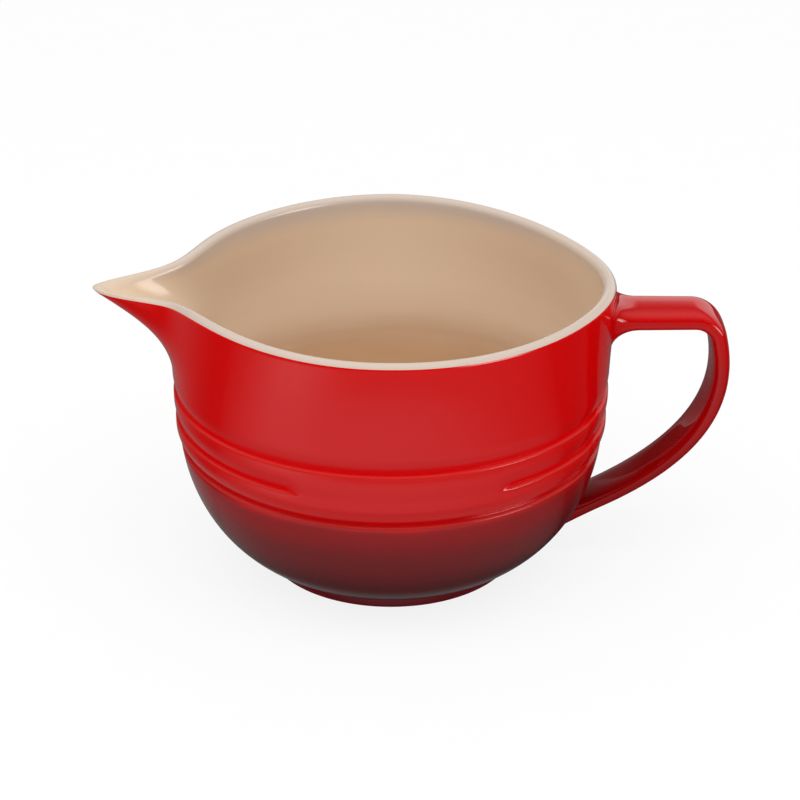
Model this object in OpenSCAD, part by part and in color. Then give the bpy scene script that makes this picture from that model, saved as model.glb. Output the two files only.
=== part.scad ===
// Stoneware batter bowl with a drawn spout and a strap handle.
// The axis of the bowl is Z and it stands on Z = 0. The spout points to -X and the handle to +X.

/* [Bowl] */
// Height of the lip at the two flanks
rim_h = 137; // [120:1:160]
// Outer radius of the upper wall
wall_r = 97; // [88:1:110]
// Thickness of the wall and of the rounded lip
wall_t = 5.8; // [5:0.1:8]
// Thickness of the floor
floor_t = 6.5; // [5:0.1:10]
// Thickness of the fired glaze
glaze_t = 0.45; // [0.3:0.05:0.8]
// Height on the round of the lip where the outer glaze stops, in degrees above level
lip_line_angle = 26; // [15:1:40]

/* [Rim shape] */
// How far the rim stands out past the wall at the two flanks
flank_swell = 3.2; // [0:0.1:6]
// How far the rim is drawn in on the four diagonals
corner_draw = 2; // [0:0.1:4]
// How far the rim stands out past the wall at the spout and handle ends
end_swell = 2; // [0:0.1:3]
// How far the rim falls towards the handle
handle_dip = 3.2; // [0:0.1:8]

/* [Spout] */
// How far the tip of the spout stands out past the rim
spout_reach = 34.1; // [15:0.1:42]
// Height at which the spout leaves the wall
spout_root_z = 98; // [92:1:105]
// How far the lip falls at the spout
spout_dip = 6.9; // [0:0.1:10]
// Angle round the bowl over which the spout narrows at the lip
spout_spread = 8.7; // [7:0.1:14]
// The same angle at the root of the spout
spout_root_spread = 15; // [12:0.5:24]
// Angle round the bowl over which the lip falls to the spout
spout_dip_spread = 21; // [14:1:30]

/* [Rings] */
// Height of the upper edge of the top ring
ring_z = 85.5; // [78:0.5:92]
// Height of each ring
ring_pitch = 12.5; // [9:0.5:14]
// How far the second ring lies inside the first
ring_step = 0.5; // [0:0.1:2]
// How far the bowl below the rings lies inside the second ring
bowl_step = 2; // [0.5:0.1:4]
// Depth of the grooves above the rings
groove_d = 1.4; // [0.6:0.1:2]
// Height over which a groove runs out to the ring or wall above it
groove_h = 9; // [5:0.1:11]
// Half the angle of the smooth band at the front, where the middle groove stops
band_half_angle = 25; // [15:1:40]
// Angle by which the middle of the band lies on the handle's side of the front
band_turn = 2.8; // [0:0.1:10]

/* [Foot] */
// Outer radius of the foot at the table
foot_r = 57; // [48:0.5:62]
// How far the foot draws in from the table up to the bowl
foot_draw = 0.9; // [0:0.1:2]
// Height of the foot
foot_h = 4.2; // [2:0.1:6]
// Width of the foot
foot_w = 6.5; // [5:0.1:10]
// Rounding of the foot at the table
foot_round = 0.9; // [0.5:0.1:1.2]

/* [Handle] */
// How far the middle of the handle's level top lies under the lip
handle_drop = 19.8; // [15:0.1:28]
// Distance from the bowl's axis at which the strap's level top ends and its bend begins
bend_x = 133.4; // [128:0.1:142]
// Radius of the bend along the middle of the strap
bend_r = 11.2; // [9:0.1:15]
// Angle through which the strap bends before the long sweep down
bend_angle = 75.3; // [65:0.1:88]
// How far the sweep is pulled along its first direction
sweep_pull = 42.1; // [30:0.1:50]
// Distance from the bowl's axis to the point inside the bowl that the sweep aims at
sweep_aim_x = 84; // [76:0.5:90]
// Height of that point
sweep_aim_z = 23; // [16:0.5:30]
// Width of the strap at its upper end
strap_w = 27.9; // [20:0.1:32]
// Width of the strap at its lower end
strap_end_w = 23.6; // [18:0.1:30]
// Thickness of the strap at its upper end
strap_t = 8.4; // [6:0.1:10]
// Thickness of the strap at its lower end
strap_end_t = 7; // [5.5:0.1:9]
// Length of the slip where the strap's top meets the wall
upper_joint = 12; // [6:0.5:14]
// Length of the slip where the strap's lower end meets the bowl
lower_joint = 7; // [4:0.5:10]

/* [Hidden] */

// How near a luted piece lies to the glazed wall
seat_gap = 0.45;
// Clearance between the foot and the glazes round it and within it
foot_gap = 0.3;
// Height above the table at which the glaze on the foot stops
glaze_hem = 0.6;
// Rounding of a ring's upper edge
crest_round = 0.7;
// Inward lean of a ring between its middle and its upper edge
crest_lean = 0.2;
// Radius of the lip's half round
lip_r = wall_t / 2;
// Height of the inner floor
floor_z = foot_h + floor_t;
// Height of the middle of the handle's level top
handle_z = rim_h - handle_drop;
// Where the sweep is pulled to near its aim, as shares of the way back to its start
sweep_aim_shares = [0.663, 0.211];
// Heights of the three grooves from the top down
groove_z = [ring_z, ring_z - ring_pitch, ring_z - 2 * ring_pitch];
// Radii of the ring edges below those grooves
edge_r = [wall_r, wall_r - ring_step, wall_r - ring_step - bowl_step];
// Control points of the lower bowl, as shares of its width and height
bowl_low_shares = [0.515, 0.15];
bowl_high_shares = [0.91, 0.505];
// The same for the inside
inner_low_shares = [0.55, 0];
inner_high_shares = [0.96, 0.42];
// Where the inside leaves its straight wall, as a share of the rim's height
inner_turn_share = 0.5;
// How much of the extra thickness that the spout's slanted sides need is given
spout_wall_share = 0.5;
// Powers that shape the rim, the spout's keel and the spout's sides in plan
flank_power = 5;
end_power = 12;
dip_power = 1.3;
spout_power = 1.75;
plan_power = 1.7;
// Angle over which the middle groove fades at each end of the band
band_fade = 5;

// Columns round the bowl: close together at the spout and wider elsewhere
spout_zone = 30;
fine_count = 10;
wide_count = 36;
function fine_share(s) = s * (1 + abs(s)) / 2;
columns = concat(
    [for (i = [0 : wide_count - 1])
        spout_zone - 180 + i * (360 - 2 * spout_zone) / wide_count],
    [for (i = [-fine_count : fine_count - 1])
        180 + spout_zone * fine_share(i / fine_count)]);

function clamp01(t) = min(1, max(0, t));
function ease(t) = let (s = clamp01(t)) s * s * (3 - 2 * s);
function bell(a, spread, power = 2) = exp(-pow(a / spread, power));
function from_spout(a) = 180 - abs(a > 180 ? a - 360 : a);
function bezier(p, t) =
    pow(1 - t, 3) * p[0] + 3 * t * pow(1 - t, 2) * p[1] + 3 * t * t * (1 - t) * p[2] + pow(t, 3) * p[3];
function between(a, b, shares) = [a[0] + (b[0] - a[0]) * shares[0], a[1] + (b[1] - a[1]) * shares[1]];

// Share of the rim's shape that the wall has at height z: none at the rings, all at the lip
function rim_part(z) = ease((z - ring_z) / (rim_h - ring_z));
// How far the rim lies outside the plain wall at angle a
function rim_swell(a) =
    (corner_draw + flank_swell) * pow(abs(sin(a)), flank_power)
    + (corner_draw + end_swell) * pow(abs(cos(a)), end_power) - corner_draw;
// How far the rim lies below its height at the flanks at angle a
function rim_fall(a) =
    handle_dip * pow(max(0, cos(a)), dip_power) + spout_dip * bell(from_spout(a), spout_dip_spread);
// How far the spout is drawn out at angle a and height z
function spout_share(z) = clamp01((z - spout_root_z) / (rim_h - spout_root_z));
function spout_width(z) = spout_root_spread + (spout_spread - spout_root_spread) * spout_share(z);
function spout_out(a, z) =
    spout_reach * pow(spout_share(z), spout_power) * bell(from_spout(a), spout_width(z), plan_power);
// Slope of the spout's side in plan, which thickens the wall when it is measured along the radius
function spout_slope(a, z) =
    spout_out(a, z) * plan_power * pow(from_spout(a) / spout_width(z), plan_power - 1) / spout_width(z)
    * (180 / PI) / (wall_r + spout_out(a, z));
function spout_thick(a, z) = wall_t * spout_wall_share * (sqrt(1 + pow(spout_slope(a, z), 2)) - 1);
// How much of the middle groove is left at angle a
function groove_left(a) = ease((abs(a + 90 - band_turn) - band_half_angle) / band_fade);

// Each point of the section is [radius, height, inside share, radius where the band is smooth].
function plain(p, s = 0) = [p[0], p[1], s, p[0]];

// Outside from the hem of the glaze to the top of the wall
foot_top_r = foot_r - foot_draw;
bowl_foot = [foot_top_r, foot_h];
bowl_edge = [edge_r[2], groove_z[2] - crest_round];
bowl_curve = [bowl_foot, between(bowl_foot, bowl_edge, bowl_low_shares),
              between(bowl_foot, bowl_edge, bowl_high_shares), bowl_edge];
bowl_rows = 7;
// The round from a ring's upper edge into the groove, as shares of the groove's depth and the rounding
crest_in_share = 0.4;
crest_top_share = -0.15;
groove_low_share = 0.6;
// The groove over edge n and its run out to the ring or wall above it, as a quarter of a sine
run_out_shares = [0.28, 0.6, 1];
function groove_rows(n, above_r) = [
    [edge_r[n] - groove_d * crest_in_share, groove_z[n] + crest_round * crest_top_share],
    [edge_r[n] - groove_d, groove_z[n] + crest_round * groove_low_share],
    for (s = run_out_shares)
        [edge_r[n] - groove_d + (above_r - edge_r[n] + groove_d) * sin(90 * s), groove_z[n] + groove_h * s]];
// The upper edge of the ring under groove n
function ring_rows(n) = [[edge_r[n] - crest_lean, groove_z[n] - crest_round]];
// The smooth band runs straight from one ring edge to the next
function band_r(z) =
    edge_r[1] + (edge_r[0] - edge_r[1]) * clamp01((z - groove_z[1] + crest_round) / groove_h);
wall_shares = [0.3, 0.55, 0.76, 0.9, 1];
wall_foot_z = groove_z[0] + groove_h;
outside = concat(
    [plain([foot_r, glaze_hem])],
    [for (i = [0 : bowl_rows]) plain(bezier(bowl_curve, i / bowl_rows))],
    [for (p = groove_rows(2, edge_r[1])) plain(p)],
    [for (p = concat(ring_rows(1), groove_rows(1, edge_r[0]))) [p[0], p[1], 0, band_r(p[1])]],
    [for (p = concat(ring_rows(0), groove_rows(0, wall_r))) plain(p)],
    [for (s = wall_shares) plain([wall_r, wall_foot_z + (rim_h - lip_r - wall_foot_z) * s])],
    [lip_point(lip_line_angle)]);

// The lip's half round, from the outer side at 0 degrees to the inner side at 180
function lip_point(g) = [wall_r - lip_r + lip_r * cos(g), rim_h - lip_r + lip_r * sin(g), (1 - cos(g)) / 2,
                         wall_r - lip_r + lip_r * cos(g)];
lip_angles = [70, 110, 145, 180];
inner_r = wall_r - wall_t;
inner_turn_z = rim_h * inner_turn_share;
inner_turn = [inner_r, inner_turn_z];
inner_curve = [[0, floor_z], between([0, floor_z], inner_turn, inner_low_shares),
               between([0, floor_z], inner_turn, inner_high_shares), inner_turn];
inner_rows = 7;
inner_wall_shares = [0.1, 0.25, 0.45, 0.7, 1];
inside = concat(
    [for (g = lip_angles) lip_point(g)],
    [for (s = inner_wall_shares)
        [inner_r, rim_h - lip_r + (inner_turn_z - rim_h + lip_r) * s, 1, inner_r]],
    [for (i = [1 : inner_rows]) plain(bezier(inner_curve, 1 - i / inner_rows), 1)]);

// The whole glazed surface, and the clay under it, one glaze thickness in
glazed = concat(outside, inside);
last_outside = len(outside) - 1;
last_inside = len(glazed) - 1;
function unit(v) = v / norm(v);
function inward(i) =
    i == last_inside ? [0, -1] :
    let (
        a = glazed[max(0, i - 1)],
        b = glazed[min(last_inside, i + 1)],
        d = unit([b[0] - a[0], b[1] - a[1]])
    ) [-d[1], d[0]];
clay = [for (i = [0 : last_inside])
    let (n = i == 0 ? [-1, 0] : inward(i), p = glazed[i])
    [max(0, p[0] + n[0] * glaze_t), p[1] + n[1] * glaze_t, p[2], p[3] + n[0] * glaze_t]];

// A point of the section, turned to angle a and given the band, the rim and the spout
function placed(p, a) =
    let (
        z = p[1],
        r0 = p[3] + (p[0] - p[3]) * groove_left(a),
        r = r0 + rim_part(z) * rim_swell(a) + spout_out(a, z) - p[2] * spout_thick(a, z)
    ) p[0] == 0 ? [0, 0, z] : [r * cos(a), r * sin(a), z - rim_part(z) * rim_fall(a)];

// A four-sided patch is split along its shorter diagonal, so skins that share their points meet
// face to face
function split(p, a, b, c, d) =
    norm(p[a] - p[c]) < norm(p[b] - p[d]) ? [[a, c, b], [a, d, c]] : [[a, d, b], [b, d, c]];

// A ring of points round the bowl for each point of the section, joined into one closed skin.
// A closed section makes a ring, and an open one starts and ends on the axis.
module turned(section, closed) {
    n = len(section);
    m = len(columns);
    first = closed ? 0 : 1;
    last = closed ? n - 1 : n - 2;
    rings = [for (i = [first : last]) [for (a = columns) placed(section[i], a)]];
    skin = [for (ring = rings) each ring];
    rows = len(rings);
    poles = closed ? [] : [placed(section[0], 0), placed(section[n - 1], 0)];
    body_faces = [for (i = [0 : closed ? rows - 1 : rows - 2]) for (j = [0 : m - 1])
        let (k = (i + 1) % rows, l = (j + 1) % m)
        each split(skin, i * m + j, i * m + l, k * m + l, k * m + j)];
    pole_faces = closed ? [] : [for (j = [0 : m - 1])
        let (l = (j + 1) % m, top = (rows - 1) * m)
        each [[rows * m, j, l], [rows * m + 1, top + l, top + j]]];
    polyhedron(concat(skin, poles), concat(body_faces, pole_faces), convexity = 6);
}

function reversed(v) = [for (i = [len(v) - 1 : -1 : 0]) v[i]];
function part_of(v, from, to) = [for (i = [from : to]) v[i]];

// Stoneware casting: floor, bowl, ringed wall, lip and spout
module bowl_body() {
    color("#c9b291")
        turned(concat(
            [plain([0, foot_h])],
            [plain([foot_top_r - glaze_t, foot_h])],
            part_of(clay, 2, last_inside)), false);
}

// Foot turned on the underside, bare where it meets the table
module foot_ring() {
    foot_out = foot_r - glaze_t - foot_gap;
    foot_top_out = foot_top_r - glaze_t - foot_gap;
    foot_in = foot_r - foot_w;
    color("#b99f7d")
        rotate_extrude($fn = 96)
            polygon([
                [foot_in, foot_h], [foot_in, foot_round], [foot_in + foot_round, 0],
                [foot_out - foot_round, 0], [foot_out, foot_round], [foot_top_out, foot_h]]);
}

// Red glaze over the outside, from the foot to the line on the lip
module outer_glaze() {
    color("#c01818")
        turned(concat(
            part_of(glazed, 0, last_outside),
            reversed(part_of(clay, 2, last_outside)),
            [plain([foot_top_r - glaze_t, foot_h])],
            [part_of(clay, 0, 0)[0]]), true);
}

// Cream glaze over the lip, the spout's channel and the inside
module lining_glaze() {
    color("#d8c3a2")
        turned(concat(
            reversed(part_of(clay, last_outside, last_inside)),
            part_of(glazed, last_outside, last_inside)), false);
}

// Glaze on the underside within the foot
module base_glaze() {
    color("#5a1214")
        translate([0, 0, foot_h - glaze_t])
            cylinder(r = foot_r - foot_w - foot_gap, h = glaze_t, $fn = 96);
}

// Middle line of the strap, from the wall through the bend and the long sweep to the lower end
strap_start_x = wall_r + upper_joint;
bend_z = handle_z - bend_r;
function top_line(s) = [strap_start_x + (bend_x - strap_start_x) * s, handle_z];
function bend_line(s) = [bend_x + bend_r * sin(bend_angle * s), bend_z + bend_r * cos(bend_angle * s)];
sweep_start = bend_line(1);
sweep_aim = [sweep_aim_x, sweep_aim_z];
sweep_curve = [sweep_start, sweep_start + sweep_pull * [cos(bend_angle), -sin(bend_angle)],
               between(sweep_aim, sweep_start, sweep_aim_shares), sweep_aim];
function sweep_line(t) = bezier(sweep_curve, t);
// Radius of the bowl's plain outside at height z
function bowl_at(z) = lookup(z, [for (p = outside) [p[1], p[0]]]);
// The strap stops where the slip begins, a little short of the bowl
function clear_of_bowl(t) = sweep_line(t)[0] - bowl_at(sweep_line(t)[1]) > lower_joint + strap_end_t / 2;
function sweep_end(lo, hi, n) =
    n == 0 ? lo : let (t = (lo + hi) / 2)
    clear_of_bowl(t) ? sweep_end(t, hi, n - 1) : sweep_end(lo, t, n - 1);
// Searches halve their step this many times
search_steps = 18;
sweep_stop = sweep_end(0, 1, search_steps);
top_count = 3;
bend_count = 6;
sweep_count = 14;
strap_line = concat(
    [for (i = [0 : top_count]) top_line(i / top_count)],
    [for (i = [1 : bend_count]) bend_line(i / bend_count)],
    [for (i = [1 : sweep_count]) sweep_line(sweep_stop * i / sweep_count)]);
strap_last = len(strap_line) - 1;
function strap_way(i) = unit(strap_line[min(strap_last, i + 1)] - strap_line[max(0, i - 1)]);
// The strap tapers evenly along its length
function length_to(i) = i == 0 ? 0 : length_to(i - 1) + norm(strap_line[i] - strap_line[i - 1]);
function taper(i) = length_to(i) / length_to(strap_last);
function strap_width(i) = strap_w + (strap_end_w - strap_w) * taper(i);
function strap_thick(i) = strap_t + (strap_end_t - strap_t) * taper(i);

// Rounded section of the strap: points go round it, with w across and t through the strap
section_count = 32;
section_power = 0.6;
function sign_pow(v) = sign(v) * pow(abs(v), section_power);
function section_point(k, w, t) =
    let (g = 360 * k / section_count) [w / 2 * sign_pow(cos(g)), t / 2 * sign_pow(sin(g))];
// A section at p, square to way, both in the plane of the handle. around holds its points.
function ring_at(p, way, around) = [for (q = around) [p[0] - way[1] * q[1], q[0], p[1] + way[0] * q[1]]];
function section_around(w, t) = [for (k = [0 : section_count - 1]) section_point(k, w, t)];
function ring_inside(i, inset) = section_around(strap_width(i) - 2 * inset, strap_thick(i) - 2 * inset);
// The strap's rings, with its surface an inset further in
function strap_rings(inset) =
    [for (i = [0 : strap_last]) ring_at(strap_line[i], strap_way(i), ring_inside(i, inset))];

// Rings of points joined into a solid bar with flat fans at its ends
module bar(rings) {
    m = len(rings[0]);
    n = len(rings);
    points = [for (ring = rings) each ring];
    function middle(ring) = [for (c = [0 : 2]) [for (p = ring) p[c]] * [for (p = ring) 1 / m]];
    polyhedron(
        concat(points, [middle(rings[0]), middle(rings[n - 1])]),
        concat(
            [for (i = [0 : n - 2]) for (j = [0 : m - 1])
                let (l = (j + 1) % m)
                each split(points, i * m + j, i * m + l, (i + 1) * m + l, (i + 1) * m + j)],
            [for (j = [0 : m - 1]) [n * m, j, (j + 1) % m]],
            [for (j = [0 : m - 1]) [n * m + 1, (n - 1) * m + (j + 1) % m, (n - 1) * m + j]]),
        convexity = 6);
}

// Rings of points joined into a sleeve between an outer and an inner skin
module sleeve(outer, inner) {
    m = len(outer[0]);
    n = len(outer);
    skin = concat(outer, reversed(inner));
    points = [for (ring = skin) each ring];
    polyhedron(
        points,
        [for (i = [0 : 2 * n - 1]) for (j = [0 : m - 1])
            let (k = (i + 1) % (2 * n), l = (j + 1) % m)
            each split(points, i * m + j, i * m + l, k * m + l, k * m + j)],
        convexity = 6);
}

// Stoneware strap
module handle() {
    color("#c9b291")
        bar(strap_rings(glaze_t));
}

// Red glaze round the strap
module handle_glaze() {
    color("#b81616")
        sleeve(strap_rings(0), strap_rings(glaze_t));
}

// The glazed wall met from a point p along the direction way, both in space
function in_wall(p) =
    let (a = atan2(p[1], p[0]))
    norm([p[0], p[1]]) < bowl_at(p[2]) + rim_part(p[2]) * rim_swell(a) + seat_gap;
function wall_way(p, way, lo, hi, n) =
    n == 0 ? lo : let (s = (lo + hi) / 2)
    in_wall(p + way * s) ? wall_way(p, way, lo, s, n - 1) : wall_way(p, way, s, hi, n - 1);

// Slip that fills the corner between a strap's end and the wall, flaring as a quarter round.
// Its seat follows the wall in rings that shrink towards the middle. flares are how far it spreads
// to each side, over the strap and under it.
fillet_rows = 5;
seat_shares = [0.85, 0.7, 0.5, 0.25];
upper_flares = [5.5, 6.4, 8.5];
lower_flares = [2.5, 2.5, 3];
// Searches for the wall look this far past the end of the strap
wall_search = 3 * upper_joint;
module slip_joint(i, way, flares) {
    w = strap_width(i);
    t = strap_thick(i);
    way3 = [way[0], 0, way[1]];
    // Each row is how much of the flare is spread, the way to the wall covered and the size of the ring
    flared = [for (n = [0 : fillet_rows]) let (g = 90 * n / fillet_rows) [1 - cos(g), sin(g), 1]];
    seated = [for (s = seat_shares) [1, 1, s]];
    function lift(q) = q[1] * way[0] > 0 ? flares[1] : flares[2];
    function spread(q, grow) =
        [q[0] * (1 + 2 * flares[0] * grow / w), q[1] * (1 + 2 * lift(q) * grow / t)];
    bar([for (f = concat(flared, seated))
        let (around = [for (q = section_around(w, t)) spread(q, f[0]) * f[2]])
        [for (p = ring_at(strap_line[i], way, around))
            p + way3 * wall_way(p, way3, 0, wall_search, search_steps) * f[1]]]);
}

module upper_slip_joint() {
    color("#b01414")
        slip_joint(0, [-1, 0], upper_flares);
}

module lower_slip_joint() {
    color("#8c1416")
        slip_joint(strap_last, strap_way(strap_last), lower_flares);
}

bowl_body();
foot_ring();
outer_glaze();
lining_glaze();
base_glaze();
handle();
handle_glaze();
upper_slip_joint();
lower_slip_joint();
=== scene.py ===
import math

import bmesh
import bpy
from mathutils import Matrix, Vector


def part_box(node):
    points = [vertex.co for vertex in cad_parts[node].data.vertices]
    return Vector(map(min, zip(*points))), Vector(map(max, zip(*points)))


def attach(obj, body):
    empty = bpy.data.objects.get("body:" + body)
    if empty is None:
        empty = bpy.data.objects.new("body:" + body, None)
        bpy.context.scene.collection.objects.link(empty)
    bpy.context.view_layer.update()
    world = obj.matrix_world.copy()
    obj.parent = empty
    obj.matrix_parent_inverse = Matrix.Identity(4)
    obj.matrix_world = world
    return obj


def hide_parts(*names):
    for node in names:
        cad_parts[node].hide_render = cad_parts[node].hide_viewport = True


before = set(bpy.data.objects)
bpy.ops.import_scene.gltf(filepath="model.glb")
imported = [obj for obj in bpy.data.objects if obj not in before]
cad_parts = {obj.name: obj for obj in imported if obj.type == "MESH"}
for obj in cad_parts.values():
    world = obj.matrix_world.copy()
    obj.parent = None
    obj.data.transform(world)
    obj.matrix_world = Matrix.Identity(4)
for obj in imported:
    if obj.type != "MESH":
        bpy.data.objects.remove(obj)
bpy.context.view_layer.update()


# Bowl body: one stoneware casting with floor, ringed wall, rounded lip and a spout drawn out of the
# rim. Fired matt and buff, it is covered by glaze everywhere but at the foot.
MM = 0.001
RIM_H = 137 * MM
WALL_R = 97 * MM
WALL_T = 5.8 * MM
LIP_R = WALL_T / 2
GLAZE_T = 0.45 * MM
FOOT_R = 57 * MM
FOOT_H = 4.2 * MM
FOOT_TOP_R = FOOT_R - 0.9 * MM
HEM_H = 0.6 * MM
FLOOR_Z = 10.7 * MM
CLAY_BUFF = (0.56, 0.42, 0.27)
# The rings step in downwards. Each has a small crest at its top edge and a groove over that
RING_Z = 85.5 * MM
RING_PITCH = 12.5 * MM
RING_STEP = 0.5 * MM
BOWL_STEP = 2 * MM
GROOVE_D = 1.4 * MM
GROOVE_H = 9 * MM
CREST_H = 0.7 * MM
CREST_SPAN = 2.2
CREST_FALL = 0.15 * MM
# Where a crest's pale band of thinner glaze and painted highlight lies, and where glaze pools in a groove
# with painted shade in its gloss, as shares of the way over it
CREST_TOP = 0.3
CREST_WIDTH = 0.22
POOL_END = 0.42
POOL_FADE = 0.22
LOW_POOL = 0.35
# How the curves under the wall and inside are pulled, and the angle on the lip where red meets cream
UNDER_PULLS = ((0.515, 0.15), (0.91, 0.505))
INNER_PULLS = ((0.55, 0), (0.96, 0.42))
INNER_TURN = 0.5
LIP_LINE = math.radians(26)
# How the rim leaves the round, and how sharply its swells, its dip and the spout come in
FLANK_SWELL = 3.2 * MM
CORNER_DRAW = 2 * MM
END_SWELL = 2 * MM
FLANK_POWER = 5.0
END_POWER = 12.0
DIP_POWER = 1.3
REACH_POWER = 1.75
# The mesh's columns, closest together at the spout, and its rows from the foot up and back down inside
SKIN_COLUMNS = 320
SPOUT_CROWD = 0.65
UNDER_ROWS, STEP_ROWS, RUN_ROWS, WALL_ROWS, LIP_ROWS = 36, 9, 12, 30, 5
OVER_ROWS, INNER_ROWS, BASIN_ROWS = 18, 40, 48
AXIS_R = 0.1 * MM
SKIN_WELD = 0.02 * MM


class Field:
    """A number in a node tree. Sums, products and functions of it become Math nodes."""

    def __init__(self, tree, socket):
        self.tree = tree
        self.socket = socket

    def make(self, operation, *values):
        node = self.tree.nodes.new("ShaderNodeMath")
        node.operation = operation
        for place, value in zip(node.inputs, values):
            if isinstance(value, Field):
                self.tree.links.new(value.socket, place)
            else:
                place.default_value = value
        return Field(self.tree, node.outputs[0])

    def __add__(self, other):
        return self.make("ADD", self, other)

    def __sub__(self, other):
        return self.make("SUBTRACT", self, other)

    def __mul__(self, other):
        return self.make("MULTIPLY", self, other)

    def __truediv__(self, other):
        return self.make("DIVIDE", self, other)

    def __pow__(self, other):
        return self.make("POWER", self, other)

    def clamp(self):
        """The number held between 0 and 1."""
        return self.make("MINIMUM", self.make("MAXIMUM", self, 0.0), 1.0)

    def ease(self):
        """The number held between 0 and 1, with a soft start and end."""
        part = self.clamp()
        return part * part * (part * -2.0 + 3.0)

    def size(self):
        return self.make("ABSOLUTE", self)

    def root(self):
        return self.make("SQRT", self)

    def bell(self, spread, power=2.0):
        """1 where the number is 0, falling off over a spread. A higher power gives a flatter top."""
        fall = (self / spread) ** power * -1.0
        return fall.make("EXPONENT", fall)


def distance(values, place):
    """How far a point, given as its Fields, lies from a place."""
    total = (values[0] - place[0]) ** 2.0
    for value, middle in zip(values[1:], place[1:]):
        total = total + (value - middle) ** 2.0
    return total.root()


def node_tree(name, inputs):
    """A Geometry Nodes tree with named inputs. inputs is a list of (name, socket type, default)."""
    tree = bpy.data.node_groups.new(name, "GeometryNodeTree")
    tree.interface.new_socket("Geometry", in_out="OUTPUT", socket_type="NodeSocketGeometry")
    tree.interface.new_socket("Geometry", in_out="INPUT", socket_type="NodeSocketGeometry")
    for label, kind, value in inputs:
        item = tree.interface.new_socket(label, in_out="INPUT", socket_type=kind)
        if value is not None:
            item.default_value = value
    return tree


def add_node(tree, kind, settings=None, **links):
    """Adds a node, sets its own settings, then links or sets its inputs by name with _ for spaces."""
    node = tree.nodes.new(kind)
    for key, value in (settings or {}).items():
        setattr(node, key, value)
    for key, value in links.items():
        place = node.inputs[key.replace("_", " ")]
        if isinstance(value, Field):
            value = value.socket
        if isinstance(value, bpy.types.NodeSocket):
            tree.links.new(value, place)
        else:
            place.default_value = value
    return node


def finish_tree(tree, skin, material, weld):
    """Welds a skin's seams, shades it smooth, makes it real, paints it and gives it out of the tree."""
    merged = add_node(tree, "GeometryNodeMergeByDistance", Geometry=skin, Distance=weld)
    shaded = add_node(tree, "GeometryNodeSetShadeSmooth", Geometry=merged.outputs[0], Shade_Smooth=True)
    real = add_node(tree, "GeometryNodeRealizeInstances", Geometry=shaded.outputs[0])
    painted = add_node(tree, "GeometryNodeSetMaterial", Geometry=real.outputs[0], Material=material)
    target = tree.nodes.new("NodeGroupOutput")
    tree.links.new(painted.outputs[0], target.inputs[0])
    return tree


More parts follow.
